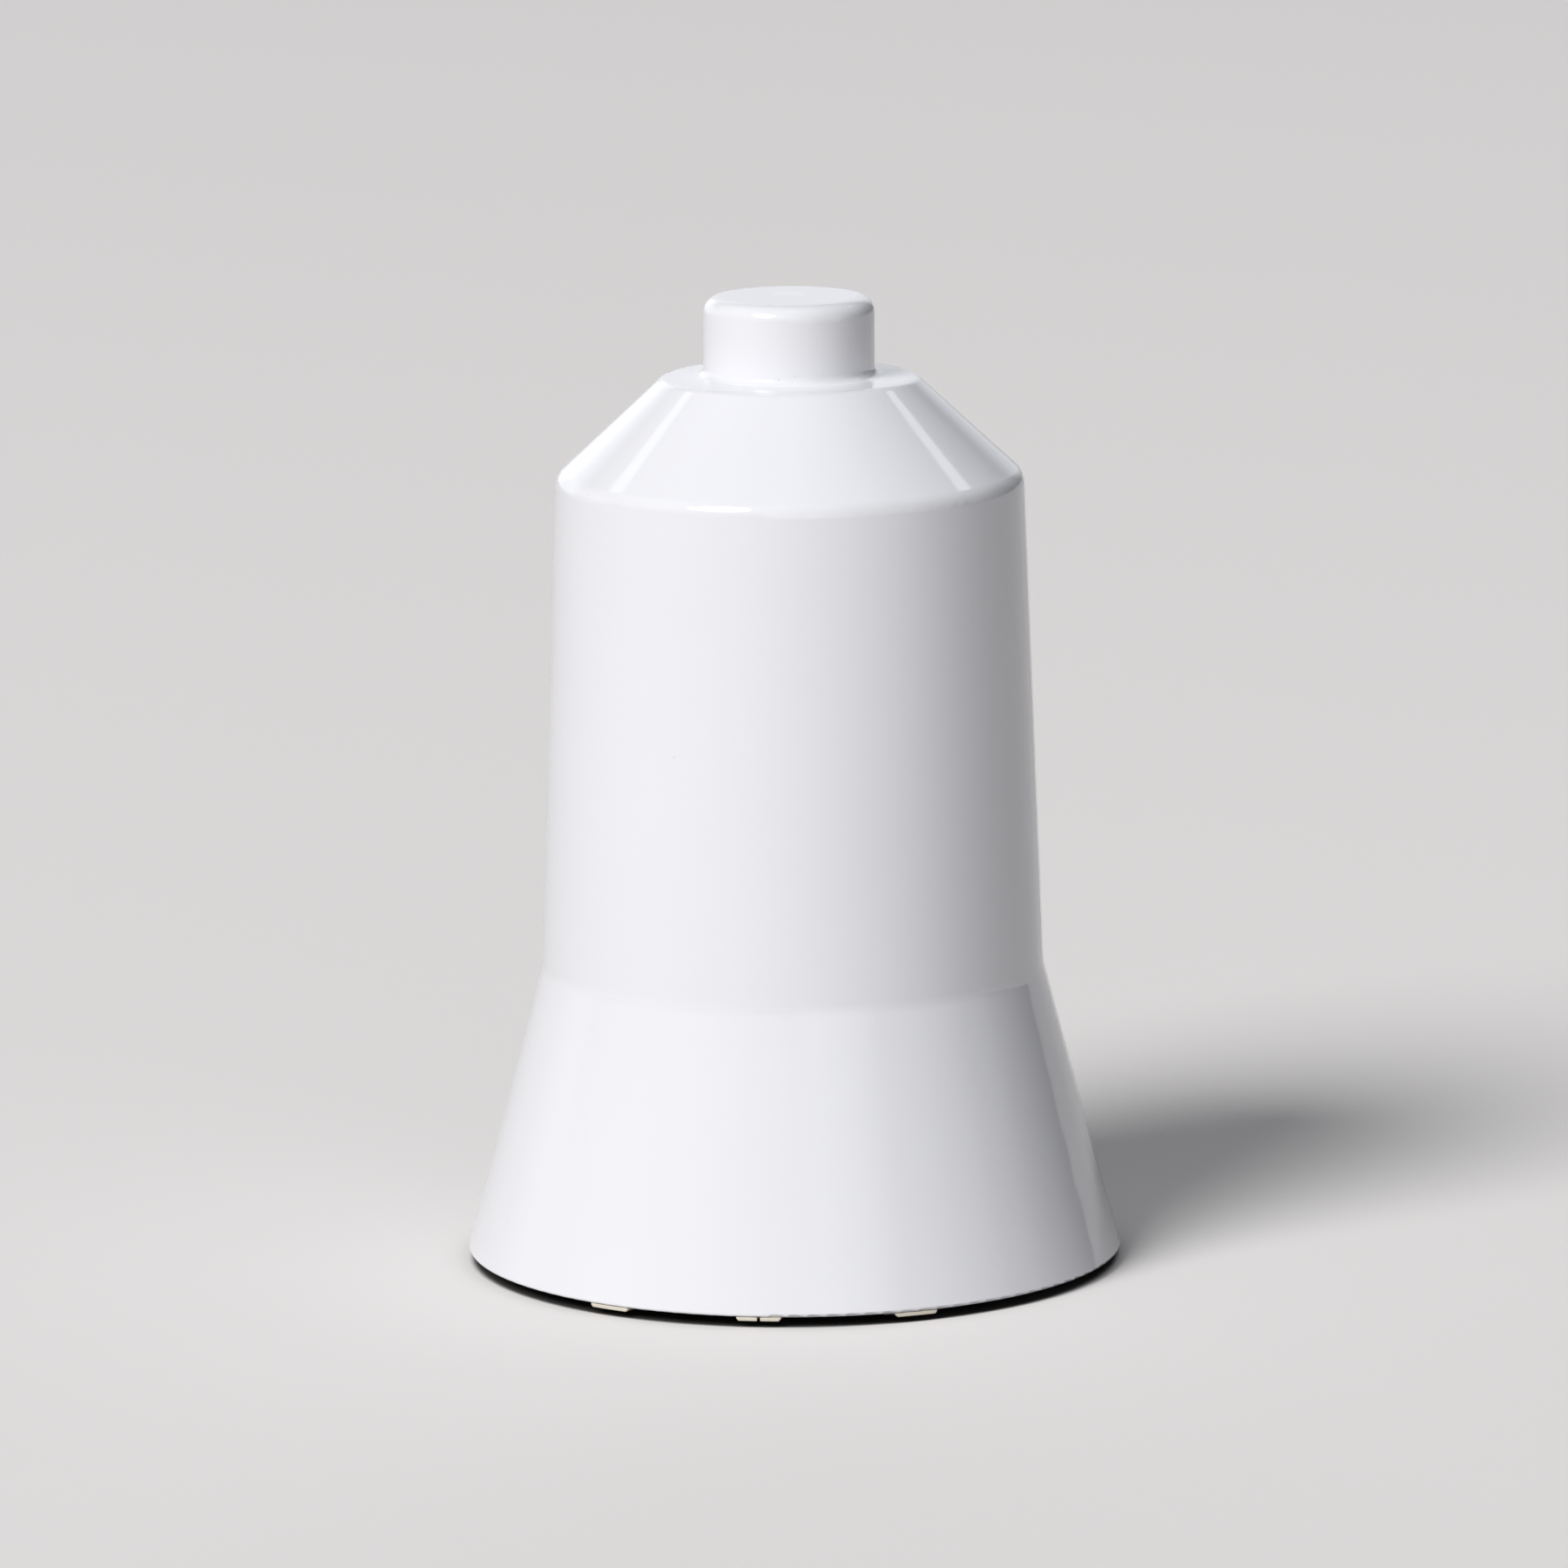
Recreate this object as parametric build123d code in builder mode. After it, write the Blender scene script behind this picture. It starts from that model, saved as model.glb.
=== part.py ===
from build123d import *
from math import cos, hypot, radians
import os

# Bell insulator for a fence post top. A hollow bell carries the fence wire on its knob.
# It screws onto a spindle that stands on a plate, and the plate is screwed to the post.
# Millimetres. The origin is on the post top, on the axis of the bell. +Z is up.

# ---- bell shell, heights counted from the rim ----
RIM_GAP = 1.2  # from the post top to the rim
RIM_RADIUS = 37.66
SKIRT_TOP_RADIUS = 28.74
SKIRT_HEIGHT = 33.05
SKIRT_HOLLOW = 0.12  # how far the skirt bends inwards, halfway up
SHOULDER_RADIUS = 26.68
SHOULDER_HEIGHT = 89.6
CROWN_RADIUS = 14.5
CONE_HEIGHT = 11.25  # from the shoulder to the edge of the crown
CROWN_FALL = 0.3  # from the knob to the edge of the crown, so that rain runs off
KNOB_RADIUS = 9.76
KNOB_HEIGHT = 8.95  # above the foot of the knob
WALL = 2.2

RIM_ROUND = 0.3
SKIRT_ROUND = 5.0
SHOULDER_ROUND = 2.3
CROWN_ROUND = 1.4
KNOB_FOOT_ROUND = 1.0
KNOB_TOP_ROUND = 1.9
CAVITY_ROUND = 1.5

# ---- hexagonal boss under the crown, and the core that hangs from it ----
BOSS_APOTHEM = 7.0
BOSS_LENGTH = 10.0
BOSS_PLAY = 0.1
CORE_WALL = 1.9  # round the groove of the wiper seal
CORE_SOCKET = 7.0  # how far the core reaches up round the boss
CORE_WEB = 4.0
CORE_SCREW_SPACE = 7.0  # free height over the thimble, for the head of the screw
PETTICOAT_REACH = 5.5  # how far the flare stands out from the core
PETTICOAT_WALL = 2.1
PETTICOAT_DROP = 9.0  # below the guide bore
FLARE_DROP = 6.0  # height of the flare above the lower end of the guide bore
GASKET_THICKNESS = 1.0
GASKET_RADIUS = 6.6

# ---- screw that holds the core ----
SCREW_RADIUS = 2.4
SCREW_PLAY = 0.2
SCREW_DEPTH = 14.0  # in the boss
SCREW_HEAD_RADIUS = 4.6
SCREW_HEAD_HEIGHT = 3.2
SCREW_HEAD_ROUND = 1.1
SCREW_RECESS_WIDTH = 1.1
SCREW_RECESS_LENGTH = 4.8
SCREW_RECESS_DEPTH = 1.7
SCREW_WASHER_RADIUS = 5.8
SCREW_WASHER_THICKNESS = 1.2

# ---- base plate ----
PLATE_UNDERSIDE = 1.8
PLATE_THICKNESS = 3.0
HUB_WALL = 2.9  # round the plug
HUB_ROOF = 4.8  # over the head of the spindle
HUB_ROUND = 1.5
RIB_COUNT = 8
RIB_THICKNESS = 2.0
RIB_HEIGHT = 4.0
RIB_MARGIN = 0.6  # from the end of a rib to the lip of the foot ring
POST_SCREW_COUNT = 4
POST_SCREW_HOLE = 2.75
POST_SEAL_RADIUS = 5.2
POST_SEAL_THICKNESS = 1.4
POST_SEAL_MARGIN = 2.2  # to the lip of the foot ring
DRAIN_COUNT = 4
DRAIN_RADIUS = 1.6
DRAIN_MARGIN = 0.3  # to the lip of the foot ring

# ---- split ring, clipped round the edge of the plate, with feet and with lugs under the rim ----
RING_LIP = 1.0
RING_BAND = 1.45
RING_GRIP = 2.6  # how far its lips reach over the plate
RING_PLAY = 0.05
RING_CLEARANCE = 0.64  # from the top of the ring to the wall of the bell
RING_SLIT = 0.37
FOOT_COUNT = 13
FOOT_WIDTH = 5.0
FOOT_BEVEL = 0.4
FOOT_HEIGHT = 1.5
FOOT_INSET = 0.4  # from a foot to the side of the ring
LUG_COUNT = 3  # over the foot at the slit and the feet next to it
LUG_INSET = 0.26  # from the end of a lug to the side of the rim
LUG_THICKNESS = 0.42
LUG_PLAY = 0.03  # under the rim
LUG_BEVEL = 0.25

# ---- spindle and what is clamped on it ----
SPINDLE_RADIUS = 5.0
SPINDLE_CHAMFER = 1.2
HEX_APOTHEM = 8.5  # head and nut
HEX_PLAY = 0.1
HEAD_HEIGHT = 6.4
PLUG_LAND = 0.67  # from the corners of the pocket to the side of the plug
PLUG_THICKNESS = 1.8
PLUG_SLOT_WIDTH = 1.6
PLUG_SLOT_LENGTH = 10.0
PLUG_SLOT_DEPTH = 0.7
WASHER_RADIUS = 10.0
WASHER_THICKNESS = 2.0
WASHER_PLAY = 0.25
SPRING_RADIUS = 8.8
SPRING_THICKNESS = 2.4
SPRING_GAP = 1.2
NUT_HEIGHT = 8.0
HEX_CHAMFER = 0.7

# ---- guide sleeve and threaded thimble, which the core turns on ----
GUIDE_RADIUS = 9.0
THIMBLE_LENGTH = 22.0
THIMBLE_ROOF = 3.0
THIMBLE_CHAMFER = 1.0
SHANK_PLAY = 0.05
RUNNING_PLAY = 0.06  # between the guide and the core
PIN_RADIUS = 1.5
PIN_INSET = 0.4  # from the end of the pin to the side of the thimble
PIN_HEIGHT = 5.0  # above the foot of the thimble

# ---- wiper seal in the lower end of the core ----
SEAL_WIDTH = 2.0
SEAL_HEIGHT = 2.9
SEAL_PLAY = 0.05
SEAL_ROUND = 0.6
SEAL_LIP = 1.5  # of the core, under the seal
SEAL_LIP_PLAY = 0.5
GUIDE_LEAD = 2.6  # from the nut to the lower end of the guide bore

def inset(outline, depth):
    """Corners of a line that runs parallel to an outline, at a depth inside it."""
    normals = []
    for (r0, z0), (r1, z1) in zip(outline, outline[1:]):
        length = hypot(r1 - r0, z1 - z0)
        normals.append(((z1 - z0) / length, (r0 - r1) / length))
    corners = [(outline[0][0] - depth / normals[0][0], outline[0][1])]
    for (r, z), (ar, az), (br, bz) in zip(outline[1:], normals, normals[1:]):
        share = depth / (1 + ar * br + az * bz)
        corners.append((r - share * (ar + br), z - share * (az + bz)))
    return corners


def bent(start, end, hollow):
    """Middle point of a line that bends inwards by hollow."""
    length = hypot(end[0] - start[0], end[1] - start[1])
    middle_r = (start[0] + end[0]) / 2 - hollow * (end[1] - start[1]) / length
    middle_z = (start[1] + end[1]) / 2 + hollow * (end[0] - start[0]) / length
    return (middle_r, middle_z)


def round_corner(sketch, corner, radius):
    """Round one corner of a profile while it is being drawn."""
    fillet(sketch.vertices().sort_by_distance(Vector(*corner))[0], radius)


def bevelled(bottom, top, bevel):
    """Outline of a block as wide as a foot, bevelled along its lower edges."""
    half = FOOT_WIDTH / 2
    Polyline(
        (-half + bevel, bottom),
        (half - bevel, bottom),
        (half, bottom + bevel),
        (half, top),
        (-half, top),
        (-half, bottom + bevel),
        (-half + bevel, bottom),
    )


# ---- corners of the bell's profile, as radius and height ----
crown_height = RIM_GAP + SHOULDER_HEIGHT + CONE_HEIGHT
knob_foot = crown_height + CROWN_FALL
knob_top = knob_foot + KNOB_HEIGHT
rim = (RIM_RADIUS, RIM_GAP)
skirt_top = (SKIRT_TOP_RADIUS, RIM_GAP + SKIRT_HEIGHT)
shoulder = (SHOULDER_RADIUS, RIM_GAP + SHOULDER_HEIGHT)
crown = (CROWN_RADIUS, crown_height)
knob_base = (KNOB_RADIUS, knob_foot)
knob_edge = (KNOB_RADIUS, knob_top)
inner_rim, inner_skirt_top, inner_shoulder, inner_crown = inset(
    [rim, skirt_top, shoulder, crown, knob_base], WALL
)

# ---- heights that follow, up from the post ----
plate_top = PLATE_UNDERSIDE + PLATE_THICKNESS
head_bottom = PLATE_UNDERSIDE + PLUG_THICKNESS
head_top = head_bottom + HEAD_HEIGHT
hub_top = head_top + HUB_ROOF
washer_top = hub_top + WASHER_THICKNESS
spring_top = washer_top + SPRING_THICKNESS
nut_top = spring_top + NUT_HEIGHT
core_bottom = nut_top + GUIDE_LEAD

# ---- heights that follow, down from the crown ----
boss_bottom = inner_crown[1] - BOSS_LENGTH
core_top = boss_bottom + CORE_SOCKET
web_top = boss_bottom - GASKET_THICKNESS
web_bottom = web_top - CORE_WEB
thimble_top = web_bottom - CORE_SCREW_SPACE
spindle_top = thimble_top - THIMBLE_ROOF
guide_top = thimble_top - THIMBLE_LENGTH

# ---- radii that follow, inwards from the wall of the bell ----
ring_bottom = PLATE_UNDERSIDE - RING_LIP
ring_top = plate_top + RING_LIP
ring_rise = (ring_top - inner_rim[1]) / (inner_skirt_top[1] - inner_rim[1])
wall_at_ring = inner_rim[0] + ring_rise * (inner_skirt_top[0] - inner_rim[0])
ring_radius = wall_at_ring - RING_CLEARANCE
plate_radius = ring_radius - RING_BAND - RING_PLAY
ring_inner = plate_radius - RING_GRIP
post_screw_circle = ring_inner - POST_SEAL_MARGIN - POST_SEAL_RADIUS
drain_circle = ring_inner - DRAIN_MARGIN - DRAIN_RADIUS
lug_circle = RIM_RADIUS - LUG_INSET
lug_span = (LUG_COUNT - 1) * 360 / FOOT_COUNT

# ---- radii that follow, outwards from the spindle ----
plug_radius = (HEX_APOTHEM + HEX_PLAY) / cos(radians(30)) + PLUG_LAND
hub_radius = plug_radius + HUB_WALL
core_bore = GUIDE_RADIUS + RUNNING_PLAY
groove_radius = GUIDE_RADIUS + 2 * SEAL_PLAY + SEAL_WIDTH
core_radius = groove_radius + CORE_WALL
petticoat_radius = core_radius + PETTICOAT_REACH

# ---- bell shell: one moulding, closed at the knob and open at the rim ----
outer_rounds = [
    (rim, RIM_ROUND),
    (skirt_top, SKIRT_ROUND),
    (shoulder, SHOULDER_ROUND),
    (crown, CROWN_ROUND),
    (knob_base, KNOB_FOOT_ROUND),
    (knob_edge, KNOB_TOP_ROUND),
]
inner_rounds = [(inner_skirt_top, SKIRT_ROUND), (inner_shoulder, CAVITY_ROUND), (inner_crown, CAVITY_ROUND)]

with BuildPart() as bell_shell:
    with BuildSketch(Plane.XZ) as outside:
        with BuildLine():
            ThreePointArc(rim, bent(rim, skirt_top, SKIRT_HOLLOW), skirt_top)
            Polyline(skirt_top, shoulder, crown, knob_base, knob_edge, (0, knob_top), (0, RIM_GAP), rim)
        make_face()
        for corner, radius in outer_rounds:
            round_corner(outside, corner, radius)
    revolve(axis=Axis.Z)
    with BuildSketch(Plane.XZ) as cavity:
        with BuildLine():
            ThreePointArc(inner_rim, bent(inner_rim, inner_skirt_top, SKIRT_HOLLOW), inner_skirt_top)
            Polyline(
                inner_skirt_top, inner_shoulder, inner_crown, (0, inner_crown[1]), (0, RIM_GAP), inner_rim
            )
        make_face()
        for corner, radius in inner_rounds:
            round_corner(cavity, corner, radius)
    revolve(axis=Axis.Z, mode=Mode.SUBTRACT)
    with BuildSketch(Plane.XY.offset(boss_bottom)):
        RegularPolygon(BOSS_APOTHEM, 6, major_radius=False)
    extrude(amount=BOSS_LENGTH + WALL / 2)
    with BuildSketch(Plane.XY.offset(boss_bottom)):
        Circle(SCREW_RADIUS)
    extrude(amount=SCREW_DEPTH, mode=Mode.SUBTRACT)

# ---- inner core: the guide tube, with a petticoat below and a socket for the boss above ----
flare_top = core_bottom + FLARE_DROP
petticoat_bottom = core_bottom - PETTICOAT_DROP
petticoat_inner = petticoat_radius - PETTICOAT_WALL
petticoat_root = core_radius - PETTICOAT_WALL / 2
lip_radius = GUIDE_RADIUS + SEAL_LIP_PLAY
groove_bottom = core_bottom + SEAL_LIP
groove_top = groove_bottom + 2 * SEAL_PLAY + SEAL_HEIGHT

with BuildPart() as inner_core:
    with BuildSketch(Plane.XZ) as core_profile:
        with BuildLine():
            Polyline(
                (0, core_top),
                (core_radius, core_top),
                (core_radius, flare_top),
                (petticoat_radius, petticoat_bottom),
                (petticoat_inner, petticoat_bottom),
                (petticoat_root, core_bottom),
                (lip_radius, core_bottom),
                (lip_radius, groove_bottom),
                (groove_radius, groove_bottom),
                (groove_radius, groove_top),
                (core_bore, groove_top),
                (core_bore, web_bottom),
                (0, web_bottom),
                (0, core_top),
            )
        make_face()
        round_corner(core_profile, (core_radius, core_top), RIM_ROUND)
        round_corner(core_profile, (core_radius, flare_top), SKIRT_ROUND)
        round_corner(core_profile, (petticoat_radius, petticoat_bottom), RIM_ROUND)
    revolve(axis=Axis.Z)
    with BuildSketch(Plane.XY.offset(web_top)):
        RegularPolygon(BOSS_APOTHEM + BOSS_PLAY, 6, major_radius=False)
    extrude(amount=core_top - web_top, mode=Mode.SUBTRACT)
    with BuildSketch(Plane.XY.offset(web_bottom)):
        Circle(SCREW_RADIUS + SCREW_PLAY)
    extrude(amount=CORE_WEB, mode=Mode.SUBTRACT)

# ---- gasket between the web of the core and the boss ----
with BuildPart() as core_gasket:
    with BuildSketch(Plane.XY.offset(web_top)):
        Circle(GASKET_RADIUS)
        Circle(SCREW_RADIUS + SCREW_PLAY, mode=Mode.SUBTRACT)
    extrude(amount=GASKET_THICKNESS)

# ---- washer and screw that hold the core to the boss ----
core_washer_bottom = web_bottom - SCREW_WASHER_THICKNESS
screw_head_bottom = core_washer_bottom - SCREW_HEAD_HEIGHT
screw_length = boss_bottom + SCREW_DEPTH - core_washer_bottom

with BuildPart() as core_washer:
    with BuildSketch(Plane.XY.offset(core_washer_bottom)):
        Circle(SCREW_WASHER_RADIUS)
        Circle(SCREW_RADIUS + SCREW_PLAY, mode=Mode.SUBTRACT)
    extrude(amount=SCREW_WASHER_THICKNESS)

with BuildPart() as core_screw:
    with BuildSketch(Plane.XY.offset(screw_head_bottom)):
        Circle(SCREW_HEAD_RADIUS)
    extrude(amount=SCREW_HEAD_HEIGHT)
    fillet(core_screw.faces().sort_by(Axis.Z)[0].edges(), SCREW_HEAD_ROUND)
    with BuildSketch(Plane.XY.offset(core_washer_bottom)):
        Circle(SCREW_RADIUS)
    extrude(amount=screw_length)
    chamfer(core_screw.faces().sort_by(Axis.Z)[-1].edges(), SCREW_RADIUS / 2)
    with BuildSketch(Plane.XY.offset(screw_head_bottom)):
        Rectangle(SCREW_RECESS_LENGTH, SCREW_RECESS_WIDTH)
        Rectangle(SCREW_RECESS_WIDTH, SCREW_RECESS_LENGTH)
    extrude(amount=SCREW_RECESS_DEPTH, mode=Mode.SUBTRACT)

# ---- wiper seal: rides up and down with the core, but doesn't turn with it ----
with BuildPart() as wiper_seal:
    with BuildSketch(Plane.XY.offset(groove_bottom + SEAL_PLAY)):
        Circle(GUIDE_RADIUS + SEAL_PLAY + SEAL_WIDTH)
        Circle(GUIDE_RADIUS + SEAL_PLAY, mode=Mode.SUBTRACT)
    extrude(amount=SEAL_HEIGHT)
    chamfer(wiper_seal.faces().sort_by(Axis.Z)[0].edges(), SEAL_ROUND)

# ---- base plate: disc, hub with a hexagonal pocket, ribs and screw holes ----
rib_start = hub_radius - HUB_ROUND
rib_end = ring_inner - RIB_MARGIN

with BuildPart() as rib:
    with BuildSketch(Plane.XZ.offset(-RIB_THICKNESS / 2)):
        with BuildLine():
            Polyline(
                (rib_start, plate_top),
                (rib_end, plate_top),
                (rib_end - RIB_HEIGHT, plate_top + RIB_HEIGHT / 2),
                (rib_start, plate_top + RIB_HEIGHT),
                (rib_start, plate_top),
            )
        make_face()
    extrude(amount=RIB_THICKNESS)

with BuildPart() as base_plate:
    with BuildSketch(Plane.XY.offset(PLATE_UNDERSIDE)):
        Circle(plate_radius)
    extrude(amount=PLATE_THICKNESS)
    with BuildSketch(Plane.XY.offset(PLATE_UNDERSIDE)):
        Circle(hub_radius)
    extrude(amount=hub_top - PLATE_UNDERSIDE)
    fillet(base_plate.faces().sort_by(Axis.Z)[-1].edges(), HUB_ROUND)
    with PolarLocations(0, RIB_COUNT, start_angle=180 / RIB_COUNT):
        add(rib.part)
    with BuildSketch(Plane.XY.offset(PLATE_UNDERSIDE)):
        Circle(plug_radius)
    extrude(amount=PLUG_THICKNESS, mode=Mode.SUBTRACT)
    with BuildSketch(Plane.XY.offset(head_bottom)):
        RegularPolygon(HEX_APOTHEM + HEX_PLAY, 6, major_radius=False)
    extrude(amount=HEAD_HEIGHT, mode=Mode.SUBTRACT)
    with BuildSketch(Plane.XY.offset(head_top)):
        Circle(SPINDLE_RADIUS + SHANK_PLAY)
    extrude(amount=HUB_ROOF, mode=Mode.SUBTRACT)
    with BuildSketch(Plane.XY.offset(PLATE_UNDERSIDE)):
        with PolarLocations(post_screw_circle, POST_SCREW_COUNT, start_angle=180 / POST_SCREW_COUNT):
            Circle(POST_SCREW_HOLE)
        with PolarLocations(drain_circle, DRAIN_COUNT):
            Circle(DRAIN_RADIUS)
    extrude(amount=PLATE_THICKNESS, mode=Mode.SUBTRACT)

# ---- soft washers under the heads of the post screws ----
with BuildPart() as post_screw_seals:
    with BuildSketch(Plane.XY.offset(plate_top)):
        with PolarLocations(post_screw_circle, POST_SCREW_COUNT, start_angle=180 / POST_SCREW_COUNT):
            Circle(POST_SEAL_RADIUS)
            Circle(POST_SCREW_HOLE, mode=Mode.SUBTRACT)
    extrude(amount=POST_SEAL_THICKNESS)

# ---- one foot of the split ring, pointing at -Y ----
foot_start = ring_inner + FOOT_INSET
foot_end = ring_radius - FOOT_INSET

with BuildPart() as foot:
    with BuildSketch(Plane.XZ.offset(foot_start)):
        with BuildLine():
            bevelled(0, FOOT_HEIGHT, FOOT_BEVEL)
        make_face()
    extrude(amount=foot_end - foot_start)
    with BuildSketch(Plane.XY):
        Circle(foot_end)
    extrude(amount=FOOT_HEIGHT, mode=Mode.INTERSECT)

# ---- one lug, over the foot, that reaches out under the rim ----
lug_top = RIM_GAP - LUG_PLAY

with BuildPart() as lug:
    with BuildSketch(Plane.XZ.offset(plate_radius)):
        with BuildLine():
            bevelled(lug_top - LUG_THICKNESS, lug_top, LUG_BEVEL)
        make_face()
    extrude(amount=lug_circle - plate_radius)
    with BuildSketch(Plane.XY):
        Circle(lug_circle)
    extrude(amount=lug_top, mode=Mode.INTERSECT)

# ---- split ring: a channel round the edge of the plate, its ends meeting in the front foot ----
with BuildPart() as foot_ring:
    with BuildSketch(Plane.XY.offset(ring_bottom)):
        Circle(ring_radius)
        Circle(ring_inner, mode=Mode.SUBTRACT)
    extrude(amount=ring_top - ring_bottom)
    with PolarLocations(0, FOOT_COUNT):
        add(foot.part)
    with PolarLocations(0, LUG_COUNT, start_angle=-lug_span / 2, angular_range=lug_span, endpoint=True):
        add(lug.part)
    with BuildSketch(Plane.XY.offset(PLATE_UNDERSIDE)):
        Circle(plate_radius + RING_PLAY)
    extrude(amount=PLATE_THICKNESS, mode=Mode.SUBTRACT)
    with BuildSketch(Plane.XY):
        with Locations((0, -(ring_inner + lug_circle) / 2)):
            Rectangle(RING_SLIT, lug_circle - ring_inner + WALL)
    extrude(amount=ring_top, mode=Mode.SUBTRACT)

# ---- spindle: a hexagon-head bolt that stands up through the hub ----
pin_height = guide_top + PIN_HEIGHT

with BuildPart() as spindle:
    with BuildSketch(Plane.XY.offset(head_bottom)):
        RegularPolygon(HEX_APOTHEM, 6, major_radius=False)
    extrude(amount=HEAD_HEIGHT)
    chamfer(spindle.faces().sort_by(Axis.Z)[0].edges(), HEX_CHAMFER)
    with BuildSketch(Plane.XY.offset(head_top)):
        Circle(SPINDLE_RADIUS)
    extrude(amount=spindle_top - head_top)
    chamfer(spindle.faces().sort_by(Axis.Z)[-1].edges(), SPINDLE_CHAMFER)
    with BuildSketch(Plane.YZ.offset(-SPINDLE_RADIUS)):
        with Locations((0, pin_height)):
            Circle(PIN_RADIUS)
    extrude(amount=2 * SPINDLE_RADIUS, mode=Mode.SUBTRACT)

# ---- plug that closes the pocket under the head of the spindle ----
with BuildPart() as head_plug:
    with BuildSketch(Plane.XY.offset(PLATE_UNDERSIDE)):
        Circle(plug_radius)
    extrude(amount=PLUG_THICKNESS)
    with BuildSketch(Plane.XY.offset(PLATE_UNDERSIDE)):
        SlotOverall(PLUG_SLOT_LENGTH, PLUG_SLOT_WIDTH)
    extrude(amount=PLUG_SLOT_DEPTH, mode=Mode.SUBTRACT)

# ---- washer, spring washer and nut that clamp the spindle to the hub ----
with BuildPart() as hub_washer:
    with BuildSketch(Plane.XY.offset(hub_top)):
        Circle(WASHER_RADIUS)
        Circle(SPINDLE_RADIUS + WASHER_PLAY, mode=Mode.SUBTRACT)
    extrude(amount=WASHER_THICKNESS)

with BuildPart() as spring_washer:
    with BuildSketch(Plane.XY.offset(washer_top)):
        Circle(SPRING_RADIUS)
        Circle(SPINDLE_RADIUS + WASHER_PLAY, mode=Mode.SUBTRACT)
        with Locations((SPRING_RADIUS, 0)):
            Rectangle(2 * SPRING_RADIUS, SPRING_GAP, mode=Mode.SUBTRACT)
    extrude(amount=SPRING_THICKNESS)

with BuildPart() as spindle_nut:
    with BuildSketch(Plane.XY.offset(spring_top)):
        RegularPolygon(HEX_APOTHEM, 6, major_radius=False)
        Circle(SPINDLE_RADIUS, mode=Mode.SUBTRACT)
    extrude(amount=NUT_HEIGHT)
    chamfer(spindle_nut.faces().sort_by(Axis.Z)[-1].outer_wire().edges(), HEX_CHAMFER)

# ---- guide sleeve over the spindle ----
with BuildPart() as guide_sleeve:
    with BuildSketch(Plane.XY.offset(nut_top)):
        Circle(GUIDE_RADIUS)
        Circle(SPINDLE_RADIUS + SHANK_PLAY, mode=Mode.SUBTRACT)
    extrude(amount=guide_top - nut_top)

# ---- threaded thimble on the tip of the spindle ----
with BuildPart() as thread_thimble:
    with BuildSketch(Plane.XY.offset(guide_top)):
        Circle(GUIDE_RADIUS)
    extrude(amount=THIMBLE_LENGTH)
    chamfer(thread_thimble.faces().sort_by(Axis.Z)[-1].edges(), THIMBLE_CHAMFER)
    with BuildSketch(Plane.XY.offset(guide_top)):
        Circle(SPINDLE_RADIUS + SHANK_PLAY)
    extrude(amount=THIMBLE_LENGTH - THIMBLE_ROOF, mode=Mode.SUBTRACT)
    with BuildSketch(Plane.YZ.offset(-GUIDE_RADIUS)):
        with Locations((0, pin_height)):
            Circle(PIN_RADIUS)
    extrude(amount=2 * GUIDE_RADIUS, mode=Mode.SUBTRACT)

# ---- pin that locks the thimble to the spindle ----
with BuildPart() as thimble_pin:
    with BuildSketch(Plane.YZ.offset(PIN_INSET - GUIDE_RADIUS)):
        with Locations((0, pin_height)):
            Circle(PIN_RADIUS)
    extrude(amount=2 * (GUIDE_RADIUS - PIN_INSET))

pieces = {
    "bell_shell": bell_shell,
    "inner_core": inner_core,
    "core_gasket": core_gasket,
    "core_washer": core_washer,
    "core_screw": core_screw,
    "wiper_seal": wiper_seal,
    "base_plate": base_plate,
    "foot_ring": foot_ring,
    "post_screw_seals": post_screw_seals,
    "head_plug": head_plug,
    "spindle": spindle,
    "hub_washer": hub_washer,
    "spring_washer": spring_washer,
    "spindle_nut": spindle_nut,
    "guide_sleeve": guide_sleeve,
    "thread_thimble": thread_thimble,
    "thimble_pin": thimble_pin,
}

os.makedirs("parts", exist_ok=True)
for name, piece in pieces.items():
    piece.part.label = name
    export_step(piece.part, f"parts/{name}.step")
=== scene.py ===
"""Looks of a bell insulator for the top of a fence post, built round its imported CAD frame."""

from math import cos, pi, radians, sin, tan, tau

import bmesh
import bpy
from mathutils import Matrix, Vector


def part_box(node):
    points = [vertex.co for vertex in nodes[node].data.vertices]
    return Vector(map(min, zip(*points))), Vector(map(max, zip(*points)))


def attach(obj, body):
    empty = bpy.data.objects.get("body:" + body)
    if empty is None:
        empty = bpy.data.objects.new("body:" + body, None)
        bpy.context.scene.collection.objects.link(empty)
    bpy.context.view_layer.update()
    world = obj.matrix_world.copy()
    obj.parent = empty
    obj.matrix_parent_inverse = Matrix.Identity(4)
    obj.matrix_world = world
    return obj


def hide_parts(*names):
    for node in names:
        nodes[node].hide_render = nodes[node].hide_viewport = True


bl_info = {
    "name": "Bell Insulator",
    "version": (1, 0, 0),
    "blender": (4, 5, 0),
    "location": "View3D > Sidebar > Insulator",
    "description": "Finishes the mouldings, seals and metal parts of a bell insulator and lights them",
    "category": "Object",
}

MM = 0.001
SHARP_EDGE = radians(38)  # edges sharper than this stay crisp
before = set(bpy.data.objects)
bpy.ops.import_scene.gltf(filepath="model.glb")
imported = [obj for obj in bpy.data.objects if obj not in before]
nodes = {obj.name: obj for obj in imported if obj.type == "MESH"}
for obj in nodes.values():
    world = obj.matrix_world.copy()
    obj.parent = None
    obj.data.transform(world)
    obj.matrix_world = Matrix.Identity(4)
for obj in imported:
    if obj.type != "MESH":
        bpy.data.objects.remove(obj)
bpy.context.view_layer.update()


# ---------------------------------------------------------------- sizes taken from the CAD nodes


def outer_radius(node_name):
    """Radius of a round CAD node that stands on the axis."""
    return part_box(node_name)[1].x


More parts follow.
